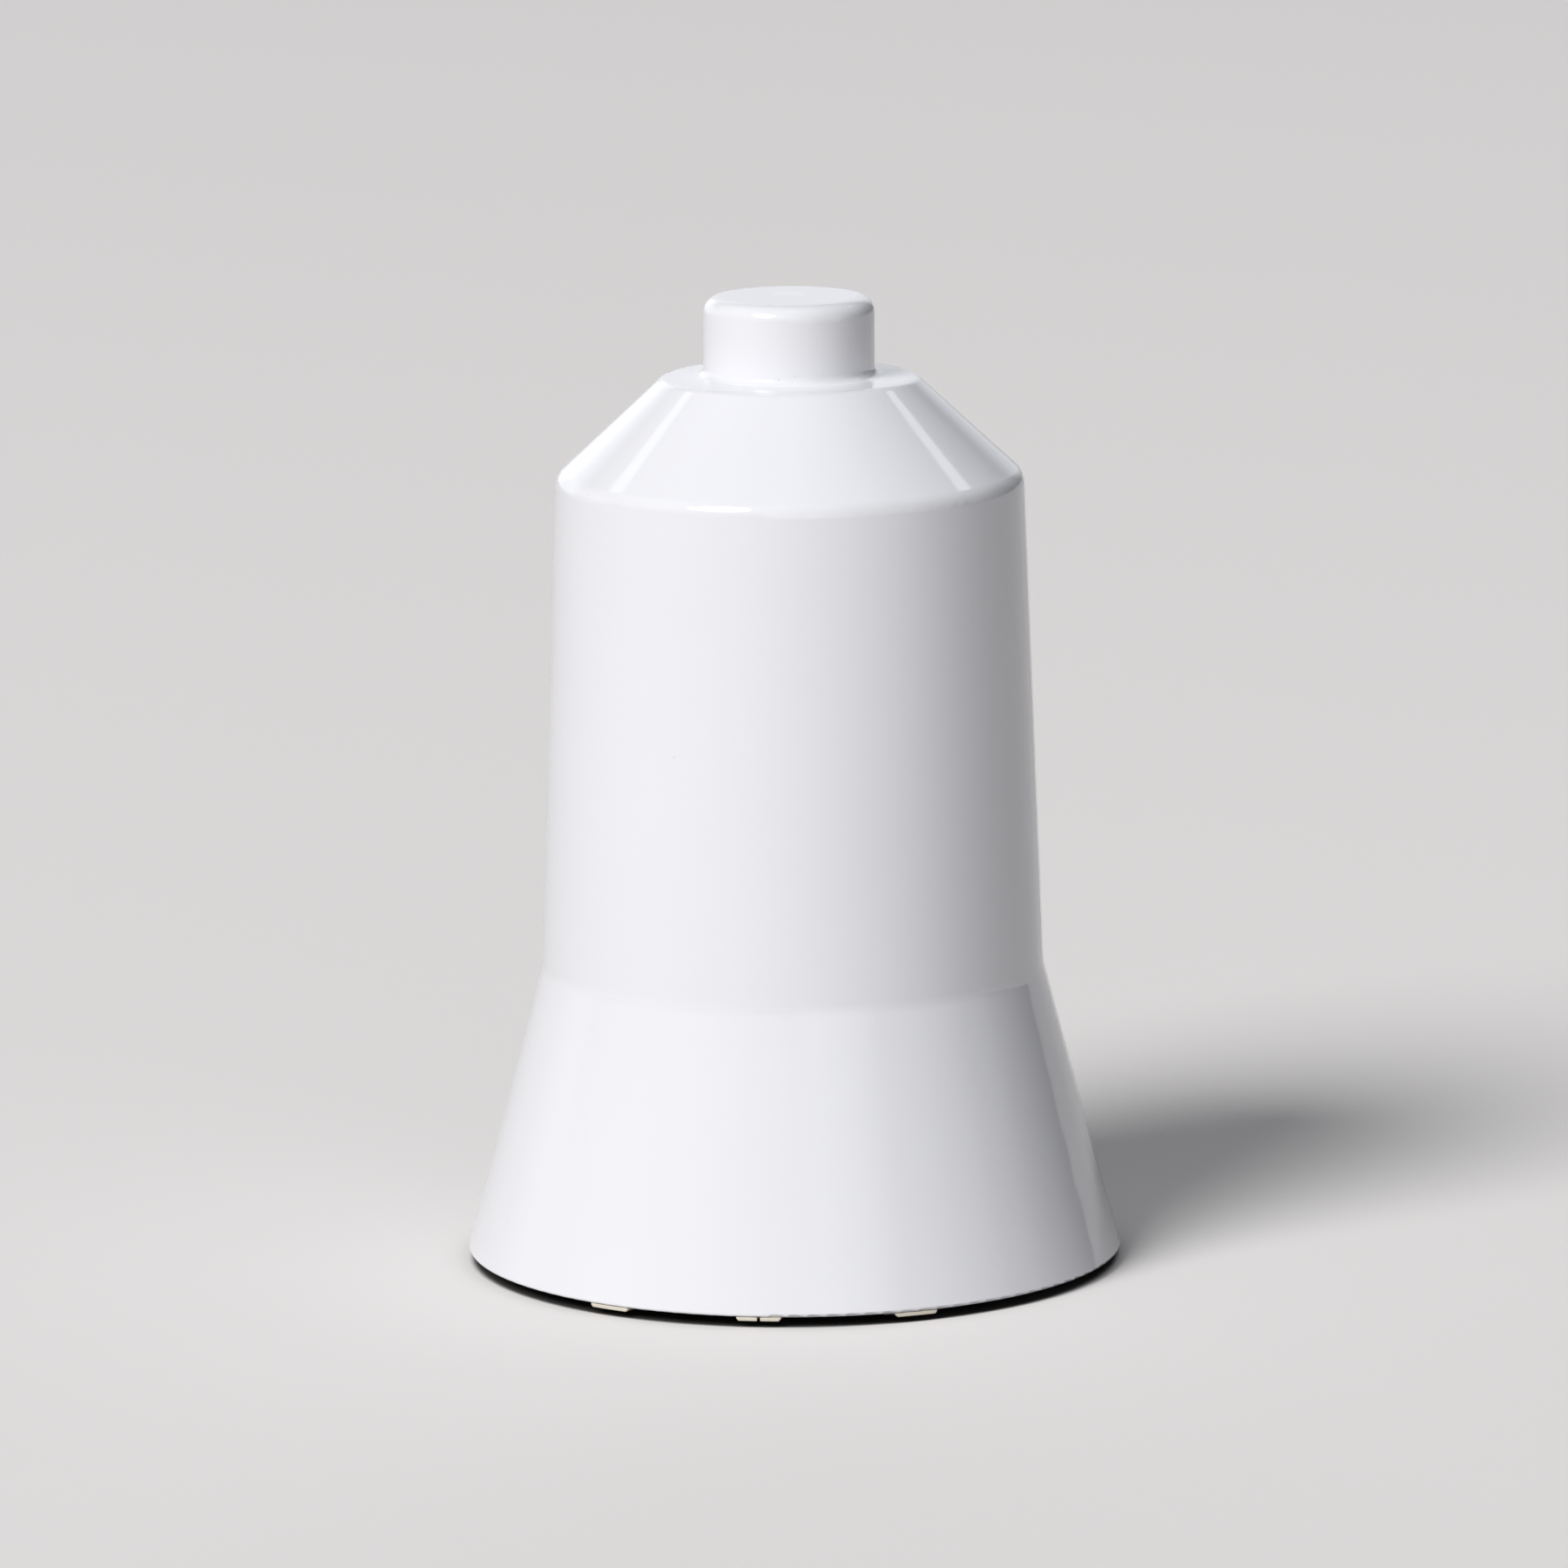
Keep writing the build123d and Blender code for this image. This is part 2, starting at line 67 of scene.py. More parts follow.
def span(node_name):
    """Lowest and highest level of a CAD node."""
    low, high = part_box(node_name)
    return low.z, high.z


knob_level = span("bell_shell")[1]
head_bottom, spindle_tip = span("spindle")
thimble_foot, thimble_top = span("thread_thimble")
seal_foot, seal_top = span("wiper_seal")
washer_foot = span("hub_washer")[0]
hex_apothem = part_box("spindle")[1].y
pin_low, pin_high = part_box("thimble_pin")
pin_level = (pin_low.z + pin_high.z) / 2
pin_radius = (pin_high.z - pin_low.z) / 2


# ---------------------------------------------------------------- colours and nodes


def linear(hex_colour):
    """Linear RGBA of an sRGB hex colour such as #F2F3F6."""
    digits = hex_colour.lstrip("#")
    channels = [int(digits[i : i + 2], 16) / 255 for i in (0, 2, 4)]
    return [c / 12.92 if c <= 0.04045 else ((c + 0.055) / 1.055) ** 2.4 for c in channels] + [1.0]


def colour_property(name, description, hex_colour):
    """A colour that a user can change, with its default given as an sRGB hex value."""
    return bpy.props.FloatVectorProperty(
        name=name, description=description, default=linear(hex_colour)[:3],
        subtype="COLOR", size=3, min=0, max=1,
    )


def length_property(name, description, millimetres):
    """A length that a user can change, with its default given in millimetres."""
    return bpy.props.FloatProperty(
        name=name, description=description, default=millimetres * MM, min=0, unit="LENGTH", precision=5
    )


def add_node(tree, kind, links=None, **settings):
    """Add a node, set its properties or sockets by name, and link its inputs from other sockets."""
    node = tree.nodes.new(kind)
    for name, value in settings.items():
        if hasattr(node, name):
            setattr(node, name, value)
        else:
            node.inputs[name.replace("_", " ")].default_value = value
    for name, socket in (links or {}).items():
        tree.links.new(socket, node.inputs[name])
    return node


def new_material(name):
    """A node material, its tree and its principled shader."""
    material = bpy.data.materials.new(name)
    material.use_nodes = True
    return material, material.node_tree, material.node_tree.nodes["Principled BSDF"]


def per_metre(millimetres):
    """Scale of a pattern whose features are this far apart."""
    return 1 / (millimetres * MM)


def colour_ramp(tree, factor, stops):
    """A ramp through (position, linear colour) stops."""
    ramp = add_node(tree, "ShaderNodeValToRGB", {"Fac": factor})
    elements = ramp.color_ramp.elements
    while len(elements) < len(stops):
        elements.new(0.5)
    for element, (position, colour) in zip(elements, stops):
        element.position = position
        element.color = colour
    return ramp.outputs["Color"]


def shaded(colour, share):
    """A linear colour, lighter or darker by a share."""
    return [min(1.0, channel * share) for channel in colour[:3]] + [1.0]


# ---------------------------------------------------------------- meshes


def stack(name, rings, segments=64):
    """A closed solid from rings on the axis, each a height and a radius.

    A radius may be a function of the angle. The first and the last ring are closed with a fan.
    Two rings on one height make a flat step.
    """
    mesh = bmesh.new()
    rows = []
    for height, radius in rings:
        row = []
        for k in range(segments):
            angle = tau * k / segments
            reach = radius(angle) if callable(radius) else radius
            row.append(mesh.verts.new((reach * cos(angle), reach * sin(angle), height)))
        rows.append(row)
    for lower, upper in zip(rows, rows[1:]):
        for k in range(segments):
            following = (k + 1) % segments
            mesh.faces.new((lower[k], lower[following], upper[following], upper[k]))
    for row, height in ((rows[0][::-1], rings[0][0]), (rows[-1], rings[-1][0])):
        centre = mesh.verts.new((0, 0, height))
        for k in range(segments):
            mesh.faces.new((row[k], row[(k + 1) % segments], centre))
    return finished(name, mesh)


def ring_solid(name, outline, segments=96):
    """A closed ring from an outline of (radius, height) corners, turned once about the axis."""
    mesh = bmesh.new()
    rows = []
    for k in range(segments):
        angle = tau * k / segments
        rows.append([mesh.verts.new((r * cos(angle), r * sin(angle), z)) for r, z in outline])
    count = len(outline)
    for k in range(segments):
        here, there = rows[k], rows[(k + 1) % segments]
        for i in range(count):
            j = (i + 1) % count
            mesh.faces.new((here[i], there[i], there[j], here[j]))
    return finished(name, mesh)


def finished(name, mesh):
    """Turn a bmesh into an object with outward faces and soft shading between its edges."""
    bmesh.ops.recalc_face_normals(mesh, faces=mesh.faces)
    data = bpy.data.meshes.new(name)
    mesh.to_mesh(data)
    mesh.free()
    data.shade_smooth()
    data.set_sharp_from_angle(angle=SHARP_EDGE)
    piece = bpy.data.objects.new(name, data)
    bpy.context.scene.collection.objects.link(piece)
    return piece


def drilled(piece, radius, height, reach):
    """Drill a level hole through a piece, along X, at a height."""
    mesh = bmesh.new()
    bmesh.ops.create_cone(
        mesh, cap_ends=True, segments=32, radius1=radius, radius2=radius, depth=2 * reach,
        matrix=Matrix.Translation((0, 0, height)) @ Matrix.Rotation(pi / 2, 4, "Y"),
    )
    drill = finished(piece.name + "_drill", mesh)
    cut = piece.modifiers.new("drill", "BOOLEAN")
    cut.operation = "DIFFERENCE"
    cut.solver = "EXACT"
    cut.object = drill
    graph = bpy.context.evaluated_depsgraph_get()
    data = bpy.data.meshes.new_from_object(piece.evaluated_get(graph))
    piece.modifiers.clear()
    piece.data = data
    data.set_sharp_from_angle(angle=SHARP_EDGE)
    bpy.data.objects.remove(drill)
    return piece


def hexagon(apothem, limit):
    """Radius of a hexagon with a flat on +Y, no further out than limit."""

    def radius(angle):
        from_flat = (angle - pi / 2 + pi / 6) % (pi / 3) - pi / 6
        return min(apothem / cos(from_flat), limit)

    return radius


def thread(crest, depth, pitch, height, flat=0.2):
    """Radius of a right-hand thread at a height, from its crest down to depth below it."""

    def radius(angle):
        from_crest = abs((height / pitch - angle / tau) % 1 - 0.5) * 2
        fall = min(max((1 - from_crest - flat) / (1 - 2 * flat), 0), 1)
        return crest - depth * fall

    return radius


def thread_rings(crest, depth, pitch, start, end, run_out):
    """Rings of a thread from one height to another, which fades out over run_out at its start."""
    count = round((end - start) / pitch * 12)
    rings = []
    for i in range(count + 1):
        height = start + (end - start) * i / count
        fade = min(1, (height - start) / run_out)
        rings.append((height, thread(crest, depth * fade, pitch, height)))
    return rings


def fit(piece, body, slot, material, *replaced):
    """Finish a new piece, and let it ride on its body in place of its CAD nodes."""
    piece.data.materials.clear()
    piece.data.materials.append(material)
    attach(piece, body)
    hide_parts(*replaced)
    return piece


def dress(node_name, material):
    """Give a CAD node one material."""
    slots = nodes[node_name].data.materials
    slots.clear()
    slots.append(material)


# ---------------------------------------------------------------- finishes


def asa_gloss_moulded(colour):
    """ASA, injection moulded in a polished tool: a hard, clear gloss that shows the lamps sharply.

    The gloss is broken only by a faint unevenness of the cooled wall, wiping marks and a little dust.
    """
    material, tree, shader = new_material("asa_gloss_moulded")
    place = add_node(tree, "ShaderNodeTexCoord").outputs["Object"]

    tint = add_node(tree, "ShaderNodeTexNoise", {"Vector": place}, Scale=per_metre(30), Detail=2.0)
    body = colour_ramp(tree, tint.outputs["Fac"], [(0.3, shaded(colour, 0.985)), (0.7, shaded(colour, 1.0))])
    dust = add_node(tree, "ShaderNodeTexVoronoi", {"Vector": place}, Scale=per_metre(3.2), Randomness=1.0)
    speck = add_node(
        tree, "ShaderNodeMapRange", {"Value": dust.outputs["Distance"]}, From_Min=0.045, From_Max=0.02
    )
    pick = add_node(tree, "ShaderNodeMath", {0: dust.outputs["Color"]}, operation="GREATER_THAN")
    pick.inputs[1].default_value = 0.8
    sparse = add_node(
        tree, "ShaderNodeMath", {0: speck.outputs["Result"], 1: pick.outputs[0]}, operation="MULTIPLY"
    )
    dusty = add_node(
        tree, "ShaderNodeMix", {"Factor": sparse.outputs[0], "A": body}, data_type="RGBA", B=linear("#D6D3CC")
    )
    # the gate: a round mark on the knob, matt where the moulding was cut from its runner; its lift towards
    # white is partly the cut gate's own colour and partly a painted highlight of the bright patch on the knob's
    # top
    reach = add_node(tree, "ShaderNodeVectorMath", {0: place}, operation="DISTANCE")
    reach.inputs[1].default_value = (-0.2 * MM, 1.1 * MM, knob_level)
    cut = add_node(
        tree, "ShaderNodeMapRange", {"Value": reach.outputs["Value"]},
        From_Min=1.9 * MM, From_Max=1.7 * MM, To_Max=0.8,
    )
    gate_white_and_painted_highlight = add_node(
        tree, "ShaderNodeMix", {"Factor": cut.outputs["Result"], "A": dusty.outputs["Result"]},
        data_type="RGBA", B=linear("#FFFFFF"),
    )
    tree.links.new(gate_white_and_painted_highlight.outputs["Result"], shader.inputs["Base Color"])

    wipe = add_node(
        tree, "ShaderNodeMapping", {"Vector": place}, Scale=(per_metre(14), per_metre(14), per_metre(2.4))
    )
    marks = add_node(tree, "ShaderNodeTexNoise", {"Vector": wipe.outputs["Vector"]}, Scale=1.0, Detail=5.0)
    gloss = add_node(
        tree, "ShaderNodeMapRange", {"Value": marks.outputs["Fac"]},
        From_Min=0.3, From_Max=0.75, To_Min=0.045, To_Max=0.1,
    )
    matt = add_node(
        tree, "ShaderNodeMix", {"Factor": sparse.outputs[0], "A": gloss.outputs["Result"]},
        data_type="FLOAT", B=0.7,
    )
    rough_cut = add_node(
        tree, "ShaderNodeMix", {"Factor": cut.outputs["Result"], "A": matt.outputs["Result"]},
        data_type="FLOAT", B=0.3,
    )
    tree.links.new(rough_cut.outputs["Result"], shader.inputs["Roughness"])

    wave = add_node(tree, "ShaderNodeTexNoise", {"Vector": place}, Scale=per_metre(13), Detail=1.0)
    waves = add_node(tree, "ShaderNodeBump", {"Height": wave.outputs["Fac"]}, Distance=0.02 * MM, Strength=1.0)
    peel = add_node(tree, "ShaderNodeTexNoise", {"Vector": place}, Scale=per_metre(1.4), Detail=2.0)
    peeled = add_node(
        tree, "ShaderNodeBump", {"Height": peel.outputs["Fac"], "Normal": waves.outputs["Normal"]},
        Distance=0.0006 * MM, Strength=1.0,
    )
    dimple = add_node(
        tree, "ShaderNodeMapRange", {"Value": reach.outputs["Value"]},
        interpolation_type="SMOOTHSTEP", From_Min=1.2 * MM, From_Max=1.9 * MM,
    )
    gated = add_node(
        tree, "ShaderNodeBump", {"Height": dimple.outputs["Result"], "Normal": peeled.outputs["Normal"]},
        Distance=0.03 * MM, Strength=1.0,
    )
    tree.links.new(gated.outputs["Normal"], shader.inputs["Normal"])
    shader.inputs["IOR"].default_value = 1.51
    return material


def moulded_nylon(name, colour, roughness, grain, softness, mottle):
    """Polyamide, injection moulded in an eroded tool: a satin skin with a fine even grain.

    Its edges are rounded, and flow from the gate leaves it a little cloudy.
    """
    material, tree, shader = new_material(name)
    place = add_node(tree, "ShaderNodeTexCoord").outputs["Object"]
    cloud = add_node(
        tree, "ShaderNodeTexNoise", {"Vector": place}, Scale=per_metre(9), Detail=4.0, Distortion=0.6
    )
    tone = colour_ramp(
        tree, cloud.outputs["Fac"], [(0.3, shaded(colour, 1 - mottle)), (0.7, shaded(colour, 1 + mottle))]
    )
    tree.links.new(tone, shader.inputs["Base Color"])
    worn = add_node(tree, "ShaderNodeTexNoise", {"Vector": place}, Scale=per_metre(3.5), Detail=5.0)
    satin = add_node(
        tree, "ShaderNodeMapRange", {"Value": worn.outputs["Fac"]},
        From_Min=0.3, From_Max=0.7, To_Min=roughness * 0.85, To_Max=roughness * 1.2,
    )
    tree.links.new(satin.outputs["Result"], shader.inputs["Roughness"])
    edge = add_node(tree, "ShaderNodeBevel", samples=4, Radius=softness * MM)
    # an eroded grain is about 0.1 mm across and is drawn twice as coarse, so that it shows
    skin = add_node(tree, "ShaderNodeTexNoise", {"Vector": place}, Scale=per_metre(0.22), Detail=2.0)
    bump = add_node(
        tree, "ShaderNodeBump", {"Height": skin.outputs["Fac"], "Normal": edge.outputs["Normal"]},
        Distance=grain * MM, Strength=1.0,
    )
    tree.links.new(bump.outputs["Normal"], shader.inputs["Normal"])
    shader.inputs["IOR"].default_value = 1.53
    return material


def acetal_turned(colour):
    """Acetal, turned from rod: waxy, slightly translucent, with fine rings from the tool."""
    material, tree, shader = new_material("acetal_turned")
    place = add_node(tree, "ShaderNodeTexCoord").outputs["Object"]
    cloud = add_node(tree, "ShaderNodeTexNoise", {"Vector": place}, Scale=per_metre(7), Detail=3.0)
    tone = colour_ramp(tree, cloud.outputs["Fac"], [(0.3, shaded(colour, 0.95)), (0.7, shaded(colour, 1.02))])
    tree.links.new(tone, shader.inputs["Base Color"])
    # the feed was about 0.15 mm a turn, drawn at 0.45 mm so that it shows
    rings = add_node(
        tree, "ShaderNodeTexWave", {"Vector": place}, wave_type="BANDS", bands_direction="Z",
        Scale=per_metre(0.45) / tau, Distortion=0.4, Detail=1.0,
    )
    bump = add_node(tree, "ShaderNodeBump", {"Height": rings.outputs["Fac"]}, Distance=0.004 * MM, Strength=1.0)
    tree.links.new(bump.outputs["Normal"], shader.inputs["Normal"])
    sheen = add_node(
        tree, "ShaderNodeMapRange", {"Value": rings.outputs["Fac"]}, To_Min=0.3, To_Max=0.4
    )
    tree.links.new(sheen.outputs["Result"], shader.inputs["Roughness"])
    shader.inputs["IOR"].default_value = 1.48
    shader.inputs["Subsurface Weight"].default_value = 0.15
    shader.inputs["Subsurface Radius"].default_value = (1.2, 1.1, 1.0)
    shader.inputs["Subsurface Scale"].default_value = 1 * MM
    return material


def epdm_moulded(colour):
    """EPDM rubber, compression moulded: dull black with a grey bloom and a dry, faintly pitted skin."""
    material, tree, shader = new_material("epdm_moulded")
    place = add_node(tree, "ShaderNodeTexCoord").outputs["Object"]
    bloom = add_node(
        tree, "ShaderNodeTexNoise", {"Vector": place}, Scale=per_metre(4), Detail=6.0, Roughness=0.7
    )
    tone = colour_ramp(
        tree, bloom.outputs["Fac"],
        [(0.35, shaded(colour, 0.85)), (0.62, shaded(colour, 1.0)), (0.8, linear("#3A3936"))],
    )
    tree.links.new(tone, shader.inputs["Base Color"])
    dull = add_node(
        tree, "ShaderNodeMapRange", {"Value": bloom.outputs["Fac"]},
        From_Min=0.3, From_Max=0.8, To_Min=0.55, To_Max=0.85,
    )
    tree.links.new(dull.outputs["Result"], shader.inputs["Roughness"])
    edge = add_node(tree, "ShaderNodeBevel", samples=4, Radius=0.2 * MM)
    pits = add_node(tree, "ShaderNodeTexNoise", {"Vector": place}, Scale=per_metre(0.3), Detail=3.0)
    bump = add_node(
        tree, "ShaderNodeBump", {"Height": pits.outputs["Fac"], "Normal": edge.outputs["Normal"]},
        Distance=0.02 * MM, Strength=1.0,
    )
    tree.links.new(bump.outputs["Normal"], shader.inputs["Normal"])
    shader.inputs["IOR"].default_value = 1.52
    return material


def steel_zinc_plated(colour):
    """Steel with bright electroplated zinc: a soft bluish sheen, cloudy, duller where tools rubbed it."""
    material, tree, shader = new_material("steel_zinc_plated")
    place = add_node(tree, "ShaderNodeTexCoord").outputs["Object"]
    cloud = add_node(
        tree, "ShaderNodeTexNoise", {"Vector": place}, Scale=per_metre(5), Detail=5.0, Distortion=0.8
    )
    tone = colour_ramp(
        tree, cloud.outputs["Fac"],
        [(0.25, shaded(colour, 0.86)), (0.5, shaded(colour, 1.0)), (0.75, linear("#C9CBC4"))],
    )
    tree.links.new(tone, shader.inputs["Base Color"])
    grain = add_node(tree, "ShaderNodeTexNoise", {"Vector": place}, Scale=per_metre(0.6), Detail=4.0)
    rub = add_node(
        tree, "ShaderNodeMapRange", {"Value": grain.outputs["Fac"]},
        From_Min=0.3, From_Max=0.75, To_Min=0.24, To_Max=0.42,
    )
    tree.links.new(rub.outputs["Result"], shader.inputs["Roughness"])
    edge = add_node(tree, "ShaderNodeBevel", samples=4, Radius=0.15 * MM)
    bump = add_node(
        tree, "ShaderNodeBump", {"Height": grain.outputs["Fac"], "Normal": edge.outputs["Normal"]},
        Distance=0.008 * MM, Strength=1.0,
    )
    tree.links.new(bump.outputs["Normal"], shader.inputs["Normal"])
    shader.inputs["Metallic"].default_value = 1.0
    return material


def stainless_drawn(colour):
    """Stainless steel, drawn and cut: a warm grey gloss with fine lines along the draw."""
    material, tree, shader = new_material("stainless_drawn")
    place = add_node(tree, "ShaderNodeTexCoord").outputs["Object"]
    # drawing lines are finer than 0.05 mm and are drawn at 0.25 mm, so that they show
    along = add_node(
        tree, "ShaderNodeMapping", {"Vector": place}, Scale=(per_metre(6), per_metre(0.25), per_metre(0.25))
    )
    lines = add_node(tree, "ShaderNodeTexNoise", {"Vector": along.outputs["Vector"]}, Scale=1.0, Detail=4.0)
    tone = colour_ramp(tree, lines.outputs["Fac"], [(0.3, shaded(colour, 0.9)), (0.7, shaded(colour, 1.03))])
    tree.links.new(tone, shader.inputs["Base Color"])
    gloss = add_node(
        tree, "ShaderNodeMapRange", {"Value": lines.outputs["Fac"]},
        From_Min=0.3, From_Max=0.7, To_Min=0.18, To_Max=0.34,
    )
    tree.links.new(gloss.outputs["Result"], shader.inputs["Roughness"])
    bump = add_node(tree, "ShaderNodeBump", {"Height": lines.outputs["Fac"]}, Distance=0.003 * MM, Strength=1.0)
    tree.links.new(bump.outputs["Normal"], shader.inputs["Normal"])
    shader.inputs["Metallic"].default_value = 1.0
    return material


def finish(maker, *arguments):
    """The material that a maker gives, made once and then shared."""
    made = bpy.data.materials.get(arguments[0] if isinstance(arguments[0], str) else maker.__name__)
    return made or maker(*arguments)


# ---------------------------------------------------------------- properties


class FinishColours(bpy.types.PropertyGroup):
    """Colours of the mouldings and the metal"""

    bell: colour_property("Bell", "Glossy shell", "#F1F1F5")
    core: colour_property("Core", "Tube and petticoat inside the bell", "#CBCCCC")
    plate: colour_property("Plate", "Base plate", "#222224")
    ring: colour_property("Ring", "Split ring with the feet", "#E1DACA")
    guide: colour_property("Guide", "Guide sleeve and thimble", "#E9E6DA")
    rubber: colour_property("Rubber", "Gasket, seals and plug", "#1C1C1D")
    zinc: colour_property("Zinc", "Spindle, nut and washers", "#C4C8CC")
    stainless: colour_property("Stainless", "Core screw, its washer and the pin", "#C2BFBA")


class FastenerSizes(bpy.types.PropertyGroup):
    """Sizes of the threads and chamfers"""

    spindle_pitch: length_property("Spindle pitch", "Pitch of the thread on the spindle", 1.5)
    spindle_thread: length_property("Spindle thread depth", "Depth of the thread on the spindle", 0.9)
    thimble_pitch: length_property("Thimble pitch", "How far the bell climbs in one turn", 6.35)
    thimble_thread: length_property("Thimble thread depth", "Depth of the thread on the thimble", 1.3)
    head_chamfer: length_property("Head chamfer", "Height of the chamfer on the head of the spindle", 0.7)
    tip_chamfer: length_property("Tip chamfer", "Chamfer on the tip of the spindle", 1.2)


class StageSettings(bpy.types.PropertyGroup):
    """Camera, lamps and floor"""

    view_azimuth: bpy.props.FloatProperty(
        name="View azimuth", description="Direction that the camera stands in, from -Y towards +X",
        default=radians(6.41), subtype="ANGLE",
    )
    view_distance: bpy.props.FloatProperty(
        name="View distance", description="Level distance from the axis to the camera",
        default=1.1651, unit="LENGTH",
    )
    view_height: bpy.props.FloatProperty(
        name="View height", description="Height of the camera over the floor", default=0.2704, unit="LENGTH",
    )
    view_pitch: bpy.props.FloatProperty(
        name="View pitch", description="How far the camera looks down",
        default=radians(10.477), subtype="ANGLE",
    )
    view_roll: bpy.props.FloatProperty(
        name="View roll", description="How far the camera leans", default=radians(-0.397), subtype="ANGLE",
    )
    view_shift: bpy.props.FloatProperty(
        name="View offset", description="How far the camera stands to the side of the axis",
        default=-0.000894, unit="LENGTH",
    )
    lens: bpy.props.FloatProperty(name="Lens", description="Focal length in millimetres", default=237.8)
    floor: colour_property("Floor", "Paper that the insulator stands on", "#F1EEEC")
    backdrop: colour_property("Backdrop", "Room behind the floor, as the camera sees it", "#D3D1CF")
    key_azimuth: bpy.props.FloatProperty(
        name="Key azimuth", description="Direction of the key lamp from the camera",
        default=radians(-40.5), subtype="ANGLE",
    )
    key_elevation: bpy.props.FloatProperty(
        name="Key elevation", description="Height of the key lamp as an angle",
        default=radians(41), subtype="ANGLE",
    )
    key_distance: bpy.props.FloatProperty(
        name="Key distance", description="Distance of the key lamp", default=15, unit="LENGTH",
    )
    key_spread: bpy.props.FloatProperty(
        name="Key spread", description="Angle across the key lamp", default=radians(27), subtype="ANGLE",
    )
    key_power: bpy.props.FloatProperty(
        name="Key power", description="Power of the key lamp in watts", default=2020,
    )
    room_level: bpy.props.FloatProperty(name="Room level", description="Light from all round", default=0.03)
    contact_reach: bpy.props.FloatProperty(
        name="Contact reach", description="How near a piece must be to shade the floor under it",
        default=0.008, unit="LENGTH",
    )
    bounce_azimuth: bpy.props.FloatProperty(
        name="Bounce azimuth", description="Side of the floor that throws light back, from the camera",
        default=radians(-52), subtype="ANGLE",
    )
    bounce_light: bpy.props.FloatProperty(
        name="Bounce", description="Share of its light that the bright side throws back",
        default=0.72, min=0, max=1,
    )
    bounce_dark: bpy.props.FloatProperty(
        name="Far bounce", description="Share of its light that the far side throws back",
        default=0.09, min=0, max=1,
    )


# ---------------------------------------------------------------- pieces


class INSULATOR_OT_bell(bpy.types.Operator):
    """Finish the bell shell"""

    bl_idname = "insulator.bell"
    bl_label = "Bell"

    def execute(self, context):
        colours = context.scene.insulator_colours
        dress("bell_shell", finish(asa_gloss_moulded, colours.bell))
        return {"FINISHED"}


class INSULATOR_OT_core(bpy.types.Operator):
    """Finish the core, its gasket, screw and washer, and make the lipped wiper seal"""

    bl_idname = "insulator.core"
    bl_label = "Core"

    def execute(self, context):
        colours = context.scene.insulator_colours
        rubber = finish(epdm_moulded, colours.rubber)
        stainless = finish(stainless_drawn, colours.stainless)
        dress("inner_core", finish(moulded_nylon, "nylon_grey_moulded", colours.core, 0.42, 0.012, 0.3, 0.03))
        dress("core_gasket", rubber)
        dress("core_washer", stainless)
        dress("core_screw", stainless)
        self.make_wiper_seal(rubber)
        return {"FINISHED"}

    def make_wiper_seal(self, rubber):
        """A ring with two lips that wipe the guide and a relieved back between them."""
        outside = outer_radius("wiper_seal")
        inside = outside - 2.0 * MM
        middle = (seal_foot + seal_top) / 2
        outline = [
            (inside, seal_foot + 0.15 * MM), (inside + 0.35 * MM, seal_foot), (outside - 0.6 * MM, seal_foot),
            (outside, seal_foot + 0.6 * MM), (outside, middle - 0.35 * MM), (outside - 0.25 * MM, middle),
            (outside, middle + 0.35 * MM), (outside, seal_top - 0.3 * MM), (outside - 0.3 * MM, seal_top),
            (inside + 0.35 * MM, seal_top), (inside, seal_top - 0.15 * MM), (inside, seal_top - 0.4 * MM),
            (inside + 0.5 * MM, middle + 0.4 * MM), (inside + 0.5 * MM, middle - 0.4 * MM),
            (inside, seal_foot + 0.4 * MM),
        ]
        fit(ring_solid("wiper_seal_lipped", outline), "seal", "seals", rubber, "wiper_seal")


class INSULATOR_OT_base(bpy.types.Operator):
    """Finish the base plate, the foot ring, the plug and the seals of the post screws"""

    bl_idname = "insulator.base"
    bl_label = "Base"

    def execute(self, context):
        colours = context.scene.insulator_colours
        rubber = finish(epdm_moulded, colours.rubber)
        charcoal = finish(moulded_nylon, "nylon_charcoal_moulded", colours.plate, 0.5, 0.03, 0.3, 0.12)
        ivory = finish(moulded_nylon, "nylon_ivory_moulded", colours.ring, 0.4, 0.01, 0.2, 0.03)
        dress("base_plate", charcoal)
        dress("foot_ring", ivory)
        dress("head_plug", rubber)
        dress("post_screw_seals", rubber)
        return {"FINISHED"}


